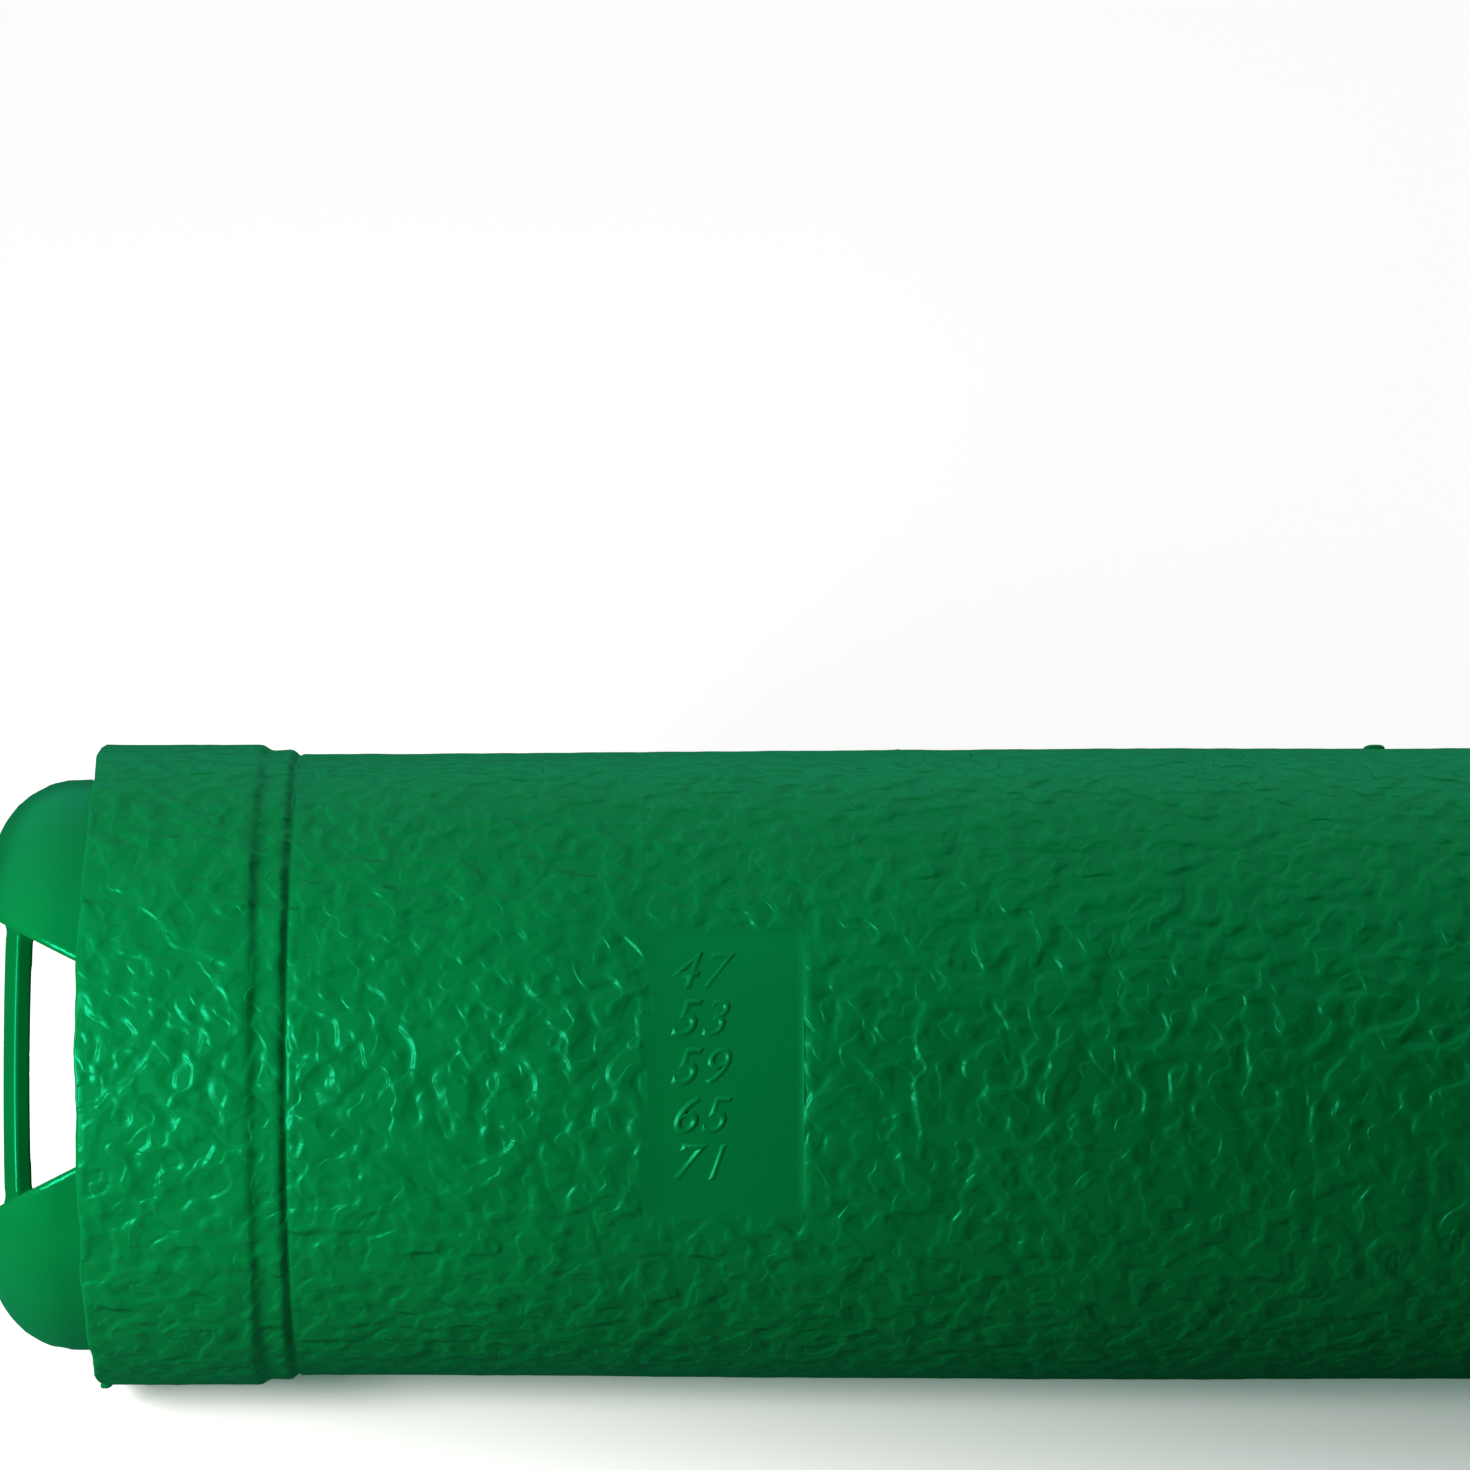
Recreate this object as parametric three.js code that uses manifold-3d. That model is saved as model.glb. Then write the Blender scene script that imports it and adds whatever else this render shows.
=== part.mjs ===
import * as THREE from "three";
import { mergeVertices } from "three/addons/utils/BufferGeometryUtils.js";
import Module from "manifold-3d";

// Telescopic poster tube: two blow-moulded tubes, closed and lying on its side, in millimetres.
// In the tube's own axes X runs along the tubes from the open mouth of the outer one,
// Z is the line of the strap bars and Y crosses the mould's parting plane.

// Facets around each tube and the roll that it lies at
const facets = 60;
const restingRoll = -30;

// Outer tube
const outerRadius = 45.9;
const neckInset = 0.9;
const outerWall = 2.2;
const neckTaperLength = 119;

// Collar, groove and bead at the mouth of the outer tube
const collarRise = 1.4;
const collarLength = 23.6;
const collarEdgeRadius = 0.7;
const collarShoulder = 0.9;
const grooveRise = 0.55;
const grooveLength = 1.4;
const beadHeight = 0.28;
const beadRamp = 0.5;
const beadLength = 0.9;
const beadSlope = 3.9;
const mouthChamfer = 0.7;

// Size panel sunk in the front of the outer tube
const panelStart = 78;
const panelLength = 23;
const panelArc = 53;
const panelTurn = -2;
const panelDepth = 0.3;

// Moulding nub on the parting line of the outer tube
const nubPlace = 185.7;
const nubRadius = 1.7;
const nubHeight = 0.65;

// Inner tube
const innerWall = 2.0;
const beltClearance = 0.3;
const beltHeight = 0.4;
const beltLength = 24;
const beltPitch = 62;
const beltCount = 5;
const beltRamp = 0.7;
const lastBeltToMouth = 158;

// Flared mouth of the inner tube
const flareClearance = 0.4;
const flareLength = 5.5;
const flareWall = 2.5;
const flareRamp = 0.9;
const lipRadius = 0.8;
const lipStepDepth = 4;
const lipStepRamp = 0.7;

// Closed ends
const endCorner = 12;
const endInset = 0.9;
const endStandOut = 15.1;
const seatClearance = 0.4;

// Strap slot and strap bar in each closed end
const slotDepth = 18.1;
const slotMouthWidth = 43;
const slotFloorWidth = 25;
const slotFloorCorner = 3;
const barDiameter = 3.8;
const barInset = 3.3;
const barBow = 0.4;
const barRootGrowth = 0.45;
const barRootLength = 3.5;

// Sizes that follow from the ones above
const neckRadius = outerRadius - neckInset;
const collarRadius = neckRadius + collarRise;
const grooveRadius = neckRadius + grooveRise;
const beadRadius = grooveRadius + beadHeight;
const boreRadius = neckRadius - outerWall;
const deepBoreRadius = outerRadius - outerWall;
const beltRadius = boreRadius - beltClearance;
const innerRadius = beltRadius - beltHeight;
const innerBoreRadius = innerRadius - innerWall;
const endRadius = innerRadius - endInset;
const flareRadius = deepBoreRadius - flareClearance;
const flareBoreRadius = flareRadius - flareWall;
const grooveStart = collarLength + collarShoulder;
const beadStart = grooveStart + grooveLength + beadRamp;
const neckStart = beadStart + beadLength + beadSlope;
const innerMouth = beltPitch * (beltCount - 1) + beltLength + lastBeltToMouth;
const innerEnd = -endStandOut;
const outerEnd = innerMouth + seatClearance + outerWall + slotDepth;
const slotSlope = (slotMouthWidth - slotFloorWidth) / 2 / slotDepth;

const wasm = await Module();
wasm.setup();

// A closed geometry as a solid that can be joined and cut
function solidOf(geometry) {
  const plain = geometry.clone();
  plain.deleteAttribute("normal");
  plain.deleteAttribute("uv");
  const merged = mergeVertices(plain, 1e-4);
  const vertProperties = new Float32Array(merged.attributes.position.array);
  const triVerts = new Uint32Array(merged.index.array);
  return new wasm.Manifold(new wasm.Mesh({ numProp: 3, vertProperties, triVerts }));
}

// A solid back as a geometry
function geometryOf(solid) {
  const mesh = solid.getMesh();
  const geometry = new THREE.BufferGeometry();
  geometry.setAttribute("position", new THREE.BufferAttribute(mesh.vertProperties, 3));
  geometry.setIndex(new THREE.BufferAttribute(mesh.triVerts, 1));
  geometry.computeVertexNormals();
  return geometry;
}

// A profile of radius and place along the tube, turned once around the X axis
function revolve(profile) {
  const halfFacet = Math.PI / facets;
  const geometry = new THREE.LatheGeometry(profile.getPoints(5), facets, halfFacet);
  geometry.rotateZ(-Math.PI / 2);
  return solidOf(geometry);
}

// A flat shape in X and Z, drawn through the whole tube along Y
function throughY(shape, width) {
  const geometry = new THREE.ExtrudeGeometry(shape, { depth: width, bevelEnabled: false, curveSegments: 6 });
  geometry.translate(0, 0, -width / 2);
  geometry.rotateX(Math.PI / 2);
  return solidOf(geometry);
}

// Profile of a closed end: flat, with one round corner, up to the given radius
function startClosedEnd(place, radius, corner) {
  const profile = new THREE.Path();
  profile.moveTo(0, place);
  profile.lineTo(radius - corner, place);
  profile.absarc(radius - corner, place + corner, corner, -Math.PI / 2, 0, false);
  return profile;
}

function finishClosedEnd(profile, place, radius, corner) {
  profile.lineTo(radius, place - corner);
  profile.absarc(radius - corner, place - corner, corner, 0, Math.PI / 2, false);
  profile.lineTo(0, place);
}

// Wedge-shaped strap slot through a closed end, grown by a wall; facing is -1 or 1 along X
function strapSlot(place, facing, grow, width) {
  const slant = grow * Math.sqrt(1 + slotSlope * slotSlope);
  const floor = slotDepth + grow;
  const over = 5;
  const halfAt = (depth) => slotMouthWidth / 2 - slotSlope * depth + slant;
  const corner = slotFloorCorner + grow;
  const side = corner / Math.hypot(1, slotSlope);
  const along = (depth) => place - facing * depth;
  const shape = new THREE.Shape();
  shape.moveTo(along(-over), -halfAt(-over));
  shape.lineTo(along(floor - side), -halfAt(floor - side));
  shape.quadraticCurveTo(along(floor), -halfAt(floor), along(floor), -halfAt(floor) + corner);
  shape.lineTo(along(floor), halfAt(floor) - corner);
  shape.quadraticCurveTo(along(floor), halfAt(floor), along(floor - side), halfAt(floor - side));
  shape.lineTo(along(-over), halfAt(-over));
  return throughY(shape, width);
}

// Round strap bar between the two lobes, a little thicker at its roots and bowed outwards
function strapBar(place, facing, wall) {
  const centre = place - facing * barInset;
  const slotHalf = slotMouthWidth / 2 - slotSlope * barInset;
  const reach = slotHalf + wall / 2;
  const radius = barDiameter / 2;
  const profile = new THREE.Path();
  profile.moveTo(0, -reach);
  profile.lineTo(radius + barRootGrowth, -reach);
  profile.lineTo(radius + barRootGrowth, -slotHalf);
  profile.quadraticCurveTo(radius, -slotHalf, radius, -slotHalf + barRootLength);
  for (const share of [-0.6, -0.3, 0, 0.3, 0.6]) profile.lineTo(radius, share * slotHalf);
  profile.lineTo(radius, slotHalf - barRootLength);
  profile.quadraticCurveTo(radius, slotHalf, radius + barRootGrowth, slotHalf);
  profile.lineTo(radius + barRootGrowth, reach);
  profile.lineTo(0, reach);
  const geometry = new THREE.LatheGeometry(profile.getPoints(4), 16);
  geometry.rotateX(Math.PI / 2);
  const points = geometry.attributes.position;
  for (let i = 0; i < points.count; i++) {
    const along = Math.min(Math.abs(points.getZ(i)) / slotHalf, 1);
    points.setX(i, points.getX(i) + centre + facing * barBow * (1 - along * along));
  }
  return solidOf(geometry);
}

// Outside of the outer tube, from the mouth to the closed end
function outerOutline() {
  const profile = new THREE.Path();
  const edge = collarEdgeRadius;
  profile.moveTo(0, 0);
  profile.lineTo(collarRadius, 0);
  profile.lineTo(collarRadius, collarLength - edge);
  profile.quadraticCurveTo(collarRadius, collarLength, collarRadius - edge / 2, collarLength);
  profile.lineTo(grooveRadius, grooveStart);
  profile.lineTo(grooveRadius, grooveStart + grooveLength);
  profile.lineTo(beadRadius, beadStart);
  profile.lineTo(beadRadius, beadStart + beadLength);
  profile.quadraticCurveTo(neckRadius, neckStart - beadSlope / 2, neckRadius, neckStart);
  profile.lineTo(outerRadius, neckStart + neckTaperLength);
  finishClosedEnd(profile, outerEnd, outerRadius, endCorner);
  return revolve(profile);
}

// Inside of the outer tube
function outerBore() {
  const profile = new THREE.Path();
  profile.moveTo(0, -1);
  profile.lineTo(boreRadius + mouthChamfer + 1, -1);
  profile.lineTo(boreRadius, mouthChamfer);
  profile.lineTo(boreRadius, neckStart);
  profile.lineTo(deepBoreRadius, neckStart + neckTaperLength);
  finishClosedEnd(profile, outerEnd - outerWall, deepBoreRadius, endCorner - outerWall);
  return revolve(profile);
}

// Curved block that sinks the size panel into the front of the outer tube
function panelCutter() {
  const middle = THREE.MathUtils.degToRad(panelTurn);
  const half = THREE.MathUtils.degToRad(panelArc / 2);
  const taperShare = (panelStart + panelLength / 2 - neckStart) / neckTaperLength;
  const surface = neckRadius + (outerRadius - neckRadius) * Math.min(Math.max(taperShare, 0), 1);
  const floor = surface - panelDepth;
  const shape = new THREE.Shape();
  shape.absarc(0, 0, floor, middle - half, middle + half, false);
  shape.absarc(0, 0, collarRadius + 2, middle + half, middle - half, true);
  const geometry = new THREE.ExtrudeGeometry(shape, {
    depth: panelLength,
    bevelEnabled: false,
    curveSegments: 14,
  });
  geometry.rotateZ(Math.PI);
  geometry.rotateY(Math.PI / 2);
  geometry.rotateX(Math.PI / 2);
  geometry.translate(panelStart, 0, 0);
  return solidOf(geometry);
}

// Small nub that the mould leaves on the parting line
function mouldNub() {
  const geometry = new THREE.CylinderGeometry(nubRadius * 0.8, nubRadius, nubHeight + 1, 12);
  geometry.rotateX(Math.PI / 2);
  geometry.translate(nubPlace, 0, outerRadius + (nubHeight - 1) / 2);
  return solidOf(geometry);
}

function makeOuterTube() {
  const reach = 4 * outerRadius;
  const hollow = outerBore().subtract(strapSlot(outerEnd, 1, outerWall, reach));
  const shell = outerOutline().subtract(strapSlot(outerEnd, 1, 0, reach)).subtract(hollow);
  const marked = shell.subtract(panelCutter()).add(mouldNub());
  return geometryOf(marked.add(strapBar(outerEnd, 1, outerWall)));
}

// One raised friction belt, added to the outside of the inner tube
function addBelt(profile, start, fromRadius) {
  profile.lineTo(fromRadius, start);
  profile.lineTo(beltRadius, start + beltRamp);
  profile.lineTo(beltRadius, start + beltLength - beltRamp);
  profile.lineTo(innerRadius, start + beltLength);
}

// Outside of the inner tube, from the closed end to the flared mouth
function innerOutline() {
  const profile = startClosedEnd(innerEnd, endRadius, endCorner);
  for (let i = 0; i < beltCount; i++) {
    addBelt(profile, beltPitch * i, i === 0 ? endRadius : innerRadius);
  }
  profile.lineTo(innerRadius, innerMouth - flareLength - flareRamp);
  profile.lineTo(flareRadius, innerMouth - flareLength);
  profile.lineTo(flareRadius, innerMouth - lipRadius);
  profile.quadraticCurveTo(flareRadius, innerMouth, flareRadius - lipRadius, innerMouth);
  profile.lineTo(0, innerMouth);
  return revolve(profile);
}

// Inside of the inner tube, with the step just inside its mouth
function innerBore() {
  const endBore = endRadius - innerWall;
  const profile = startClosedEnd(innerEnd + innerWall, endBore, endCorner - innerWall);
  profile.lineTo(endBore, beltRamp);
  profile.lineTo(innerBoreRadius, 2 * beltRamp);
  profile.lineTo(innerBoreRadius, innerMouth - lipStepDepth - lipStepRamp);
  profile.lineTo(flareBoreRadius, innerMouth - lipStepDepth);
  profile.lineTo(flareBoreRadius, innerMouth + 1);
  profile.lineTo(0, innerMouth + 1);
  return revolve(profile);
}

function makeInnerTube() {
  const reach = 4 * outerRadius;
  const hollow = innerBore().subtract(strapSlot(innerEnd, -1, innerWall, reach));
  const shell = innerOutline().subtract(strapSlot(innerEnd, -1, 0, reach)).subtract(hollow);
  return geometryOf(shell.add(strapBar(innerEnd, -1, innerWall)));
}

// Materials: one green plastic, grained by the mould on the outer tube and smooth on the closed end
const grainedPlastic = new THREE.MeshStandardMaterial({ color: 0x00703a, roughness: 0.42, metalness: 0 });
const smoothPlastic = new THREE.MeshStandardMaterial({ color: 0x007a40, roughness: 0.34, metalness: 0 });

const outerTube = new THREE.Mesh(makeOuterTube(), grainedPlastic);
outerTube.name = "outer_tube";
const innerTube = new THREE.Mesh(makeInnerTube(), smoothPlastic);
innerTube.name = "inner_tube";

// Laid on the floor on the collar, with the middle of the whole length over the origin
const tube = new THREE.Group();
tube.name = "telescopic_poster_tube";
tube.add(outerTube, innerTube);
tube.rotation.x = THREE.MathUtils.degToRad(restingRoll);
tube.position.set(-(innerEnd + outerEnd) / 2, 0, collarRadius * Math.cos(Math.PI / facets));

export default tube;
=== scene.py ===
"""Looks of the telescopic poster tube: grained green plastic, on a pale floor.

The tube's lengths are in millimetres until place() turns them into metres. The floor, the light
and the camera are in metres.
"""
import math

import bpy
import numpy as np
from mathutils import Matrix, Vector, noise


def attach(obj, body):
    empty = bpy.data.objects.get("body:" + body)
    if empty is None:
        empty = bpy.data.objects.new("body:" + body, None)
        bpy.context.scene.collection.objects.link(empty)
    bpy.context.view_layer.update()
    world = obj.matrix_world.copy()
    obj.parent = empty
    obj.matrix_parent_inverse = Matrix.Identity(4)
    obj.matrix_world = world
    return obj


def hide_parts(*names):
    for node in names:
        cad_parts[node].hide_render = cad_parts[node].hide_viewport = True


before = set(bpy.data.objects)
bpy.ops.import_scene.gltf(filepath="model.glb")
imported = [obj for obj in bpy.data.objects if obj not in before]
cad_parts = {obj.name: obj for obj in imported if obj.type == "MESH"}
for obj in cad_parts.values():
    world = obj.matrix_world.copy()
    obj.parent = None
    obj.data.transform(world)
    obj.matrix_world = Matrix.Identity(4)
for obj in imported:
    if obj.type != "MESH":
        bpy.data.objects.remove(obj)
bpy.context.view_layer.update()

# Sizes of the tube in millimetres, as in the CAD
INNER_END = -15.1
OUTER_END = 450.7
MIDDLE = (INNER_END + OUTER_END) / 2
AXIS_HEIGHT = 46.4 * math.cos(math.pi / 60)
ROLL = math.radians(30)
NECK_R = 45.0
BODY_R = 45.9
COLLAR_R = 46.4
BORE_R = 42.8
DEEP_BORE_R = 43.7
NECK_START = 31.2
NECK_TAPER = 119.0
END_CORNER = 12.0
INNER_MOUTH = 430.0
INNER_R = 42.1
END_R = 41.2
BELT_R = 42.5
BELT_LENGTH = 24.0
BELT_PITCH = 62.0
BELTS = 5
FLARE_R = 43.3
FLARE_LENGTH = 5.5
SLOT_DEPTH = 18.1
SLOT_MOUTH = 43.0
SLOT_FLOOR = 25.0
BAR_R = 1.9
BAR_INSET = 3.3
BAR_BOW = 0.4

# Closed ends: roundings of their edges, and how far each piece reaches from its flat face
SHOULDER_DEPTH = 15.8
INNER_END_REACH = 23.1
OUTER_END_REACH = END_CORNER + 8.1
SLOT_FLOOR_ROUND = 4.0
SLOT_EDGE_ROUND = 1.1
SHOULDER_ROUND = 0.5
SHOULDER_FILLET = 0.6
BAR_ROOT_FILLET = 1.5
BAR_ROOT_DEPTH = 1.0
DOME_HALF_LENGTH = 60.0

# The strap bar's roof-shaped section: its faces lie where the two weighted distances from the
# bar's centre, in depth and to the side, add up to the size, and the ridge is cut flat
ROOF_DEPTH_WEIGHT = 0.66
ROOF_SIDE_WEIGHT = 0.75
ROOF_SIZE = 1.50
RIDGE_FLAT = BAR_R + 0.1
RIDGE_ROUND = 0.25
BAR_END_ROUND = 0.3

# Section of the outer tube at the mouth, as (along, radius, share of outside skin)
MOUTH_EDGE = [
    (0.02, 43.7, 0), (-0.1, 44.1, 0), (-0.12, 45.2, 0), (-0.06, 46.0, 0.4), (0.08, 46.27, 0.8),
]
COLLAR_FLAT = (0.35, 22.8)
BAND_AND_GROOVE = [
    (23.4, 46.36, 1), (23.8, 46.22, 1), (24.2, 45.96, 1), (24.6, 45.72, 1), (25.0, 45.6, 1),
    (25.6, 45.58, 1), (26.3, 45.62, 1), (27.0, 45.68, 1), (27.6, 45.7, 1), (28.0, 45.62, 1),
    (28.35, 45.38, 1), (28.65, 45.08, 1), (28.9, 44.88, 1), (29.1, 44.84, 1), (29.3, 44.94, 1),
    (29.55, 45.06, 1), (30.2, 45.05, 1),
]
MOUTH_BORE = (24, 16, 9, 4, 2, 0.9)

# Section of the inner tube's open mouth: a lip, a step and the bore, from INNER_MOUTH inwards
LIP_AND_STEP = [(0.1, 41.1), (0.5, 40.8), (3.8, 40.8), (4.3, 40.5), (4.8, 40.1)]
INNER_BORE_R = 40.1
INNER_SHELL_START = 8.0

# Where the grain fades in along the inner tube, so that its closed end stays smooth
INNER_GRAIN_FADE = (2, 6)

# Steps of the meshes along the tube: fine over the part that the photo shows
FINE_STEP = 1.0
FINE_END = 212
COARSE_STEP = 1.7
BORE_STEP = 12

# Unevenness of the moulded skin and of the trimmed mouth
LONG_WAVE = 42.0
SHORT_WAVE = 3.1
OUTER_SWELL = 0.10
OUTER_RIPPLE = 0.07
INNER_SWELL = 0.06
INNER_RIPPLE = 0.04
TRIM_WANDER = 0.55
TRIM_NICKS = 0.18
TRIM_BOW = 0.5
TRIM_REACH = 3.0
SEAM_HALF_WIDTH = 0.35
SEAM_HEIGHT = 0.09

# The size panel: angles are counted from the upper parting line towards the front
PANEL_MIDDLE_DEGREES = 92
PANEL_HALF_DEGREES = 26.5
PANEL_START = 78.0
PANEL_END = 101.0
PANEL_TOP = math.radians(PANEL_MIDDLE_DEGREES - PANEL_HALF_DEGREES)
PANEL_BOTTOM = math.radians(PANEL_MIDDLE_DEGREES + PANEL_HALF_DEGREES)
PANEL_DEPTH = 0.22

# Its figures, drawn flat and then laid on the tube with their relief cut down to the slope
FIGURE_ROWS = ("47", "53", "59", "65", "71")
FIGURE_START = 82.2
FIGURE_MIDDLE = math.radians(93.6)
FIGURE_PITCH = 6.75
FIGURE_SIZE = 7.3
FIGURE_SHEAR = 0.33
FIGURE_THINNING = -0.22
FIGURE_STROKE = 0.44
FIGURE_SPACING = 1.12
FIGURE_SINK = 0.49
FIGURE_SLOPE = 0.62

# Columns of the meshes round the tube; the gaps to the close ones beside an edge are in radians
OUTER_COLUMNS = 222
INNER_COLUMNS = 180
EDGE_GAP = 0.0035
SEAM_GAP = 0.011
CLEAR_OF_EDGE = 0.006

# Leather grain: sizes in millimetres, and heights as shares of its depth
BIG_PEBBLE = 3.6
BIG_WARP_SIZE = 5.0
BIG_WARP = 1.8
BIG_LEAN = 3.3
BIG_HEIGHT = 0.92
SMALL_PEBBLE = 2.5
SMALL_LEAN = 1.8
SMALL_HEIGHT = 0.42
SWELL_SIZE = 6.0
SWELL_HEIGHT = 0.50
GRAIN_MIDDLE = 0.92

# Colours, depths in metres and roughness of the two finishes
GREEN_DEEP = (0.0005, 0.108, 0.0235, 1)
GREEN = (0.0005, 0.136, 0.0300, 1)
HIGHLIGHT_TINT = (0.02, 1.0, 0.56, 1)
GRAIN_DEPTH_M = 0.00036
SMOOTH_DEPTH_M = 0.00004
GRAINED_ROUGHNESS = 0.40
SMOOTH_ROUGHNESS = 0.30

# Stage: the floor, the dome of light and the key light
FLOOR_SEEN = (1.68, 1.22, 1.35, 1)
FLOOR_TO_DIFFUSE = (0.36, 0.36, 0.34, 1)
FLOOR_TO_GLOSS = (0.02, 0.30, 0.17, 1)
FLOOR_LIFT = (0.42, 0.80, 0.64, 1)
FLOOR_LIFT_STRENGTH = 0.20
FLOOR_HALF = 6
FLOOR_DROP = 0.0002
DOME_COLOUR = (0.80, 1.0, 0.94, 1)
DOME_GLOSS = (0.05, 1.0, 0.62, 1)
DOME_LEAN = (-0.12, 0.50, 0.86)
KEY_PLACE = (-0.325, -0.172, 0.128)
KEY_TARGET = (-0.15, -0.03, 0.06)
KEY_SIZE = (0.07, 0.09)
KEY_POWER = 0.74
KEY_COLOUR = (0.80, 1, 0.92)

# Camera, fitted to the photo's outline by least squares
IMAGE_WIDTH = 1470
FOCAL_PIXELS = 6500
SENSOR_WIDTH = 36
CAMERA_PLACE = (-0.145422, -0.820081, 0.521268)
CAMERA_VIEW = (0.02093632, 0.88935605, -0.45673568)
CAMERA_RIGHT = (0.99978077, -0.01848501, 0.00983495)


def place(x, u, v):
    """Tube axes in millimetres to the row frame in metres: u along the strap bars, v to the front."""
    x, u, v = np.broadcast_arrays(x, u, v)
    out = np.empty(x.shape + (3,))
    out[..., 0] = (x - MIDDLE) / 1000
    out[..., 1] = (u * math.sin(ROLL) - v * math.cos(ROLL)) / 1000
    out[..., 2] = (AXIS_HEIGHT + u * math.cos(ROLL) + v * math.sin(ROLL)) / 1000
    return out


def new_object(name, mesh, material, body):
    obj = bpy.data.objects.new(name, mesh)
    bpy.context.collection.objects.link(obj)
    mesh.materials.append(material)
    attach(obj, body)
    return obj


def make_mesh(name, points, faces, grain=None):
    mesh = bpy.data.meshes.new(name)
    mesh.vertices.add(len(points))
    mesh.vertices.foreach_set("co", np.asarray(points, dtype=np.float32).ravel())
    faces = np.asarray(faces, dtype=np.int32)
    mesh.loops.add(faces.size)
    mesh.loops.foreach_set("vertex_index", faces.ravel())
    mesh.polygons.add(len(faces))
    mesh.polygons.foreach_set("loop_start", np.arange(0, faces.size, faces.shape[1], dtype=np.int32))
    mesh.update(calc_edges=True)
    mesh.polygons.foreach_set("use_smooth", np.ones(len(faces), dtype=bool))
    if grain is not None:
        layer = mesh.attributes.new("grain", "FLOAT", "POINT")
        layer.data.foreach_set("value", np.asarray(grain, dtype=np.float32).ravel())
    mesh.update()
    return mesh


def smoothstep(low, high, value):
    t = np.clip((value - low) / (high - low), 0, 1)
    return t * t * (3 - 2 * t)


def soft_noise(x, angle, size, seed):
    """Smooth seeded noise over the tube's surface, about -1 to 1."""
    out = np.empty(x.size)
    ring = NECK_R / size
    for i, (px, pa) in enumerate(zip(x.ravel(), angle.ravel())):
        out[i] = noise.noise(Vector((px / size + seed, ring * math.cos(pa), ring * math.sin(pa))))
    return out.reshape(x.shape)


# Tube walls, each one closed sheet: out along the outside, back along the bore

def body_radius(x):
    return np.interp(x, [NECK_START, NECK_START + NECK_TAPER], [NECK_R, BODY_R])


def angle_columns(extra, count):
    """Angles around the tube, with pairs of close columns where an edge runs along it."""
    base = np.linspace(0, 2 * math.pi, count, endpoint=False)
    near = np.array([abs((base - e + math.pi) % (2 * math.pi) - math.pi) for e in extra]).min(axis=0)
    return np.sort(np.concatenate([base[near > CLEAR_OF_EDGE], np.array(extra) % (2 * math.pi)]))


def closed_shell(name, stations, columns, radius_of, grain_of):
    """A wall from its section: stations are (x, r, outside), and the last joins the first."""
    x = np.array([s[0] for s in stations])[:, None] + np.zeros(len(columns))[None, :]
    r = np.array([s[1] for s in stations])[:, None] + np.zeros(len(columns))[None, :]
    outside = np.array([s[2] for s in stations], dtype=float)[:, None] + np.zeros(len(columns))[None, :]
    angle = columns[None, :] + np.zeros(len(stations))[:, None]
    x, r = radius_of(x, r, outside, angle)
    points = place(x, r * np.cos(angle), r * np.sin(angle)).reshape(-1, 3)
    rows, cols = x.shape
    i = np.arange(rows)[:, None]
    j = np.arange(cols)[None, :]
    a = i * cols + j
    b = i * cols + (j + 1) % cols
    c = ((i + 1) % rows) * cols + (j + 1) % cols
    d = ((i + 1) % rows) * cols + j
    faces = np.stack([a, b, c, d], axis=-1).reshape(-1, 4)
    return make_mesh(name, points, faces, grain_of(x, outside, angle))


def spaced(start, stop, step):
    return list(np.linspace(start, stop, max(2, int(round((stop - start) / step)) + 1)))


def outer_stations():
    """Along the outside from the mouth's edge to the closed end, then back along the bore."""
    out = [(x, COLLAR_R, 1) for x in spaced(*COLLAR_FLAT, 0.95)] + BAND_AND_GROOVE
    marks = [PANEL_START - 0.16, PANEL_START + 0.16, PANEL_END - 0.14, PANEL_END + 0.14]
    xs = spaced(NECK_START, marks[0] - 0.5, FINE_STEP) + marks[:2]
    xs += spaced(marks[1] + 0.9, marks[2] - 0.9, FINE_STEP) + marks[2:]
    xs += spaced(marks[3] + 0.9, FINE_END, FINE_STEP)
    back = OUTER_END - END_CORNER
    xs += spaced(FINE_END + 1.6, back, COARSE_STEP)
    out += [(x, float(body_radius(x)), 1) for x in xs]
    taper_end = NECK_START + NECK_TAPER
    inside = [(back, DEEP_BORE_R, 0)]
    inside += [(x, DEEP_BORE_R, 0) for x in spaced(back - BORE_STEP, taper_end, BORE_STEP)]
    widening = (DEEP_BORE_R - BORE_R) / NECK_TAPER
    inside += [(x, BORE_R + widening * (x - NECK_START), 0)
               for x in spaced(taper_end - 10, NECK_START, BORE_STEP)]
    inside += [(x, BORE_R, 0) for x in MOUTH_BORE]
    return MOUTH_EDGE + out + inside


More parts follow.
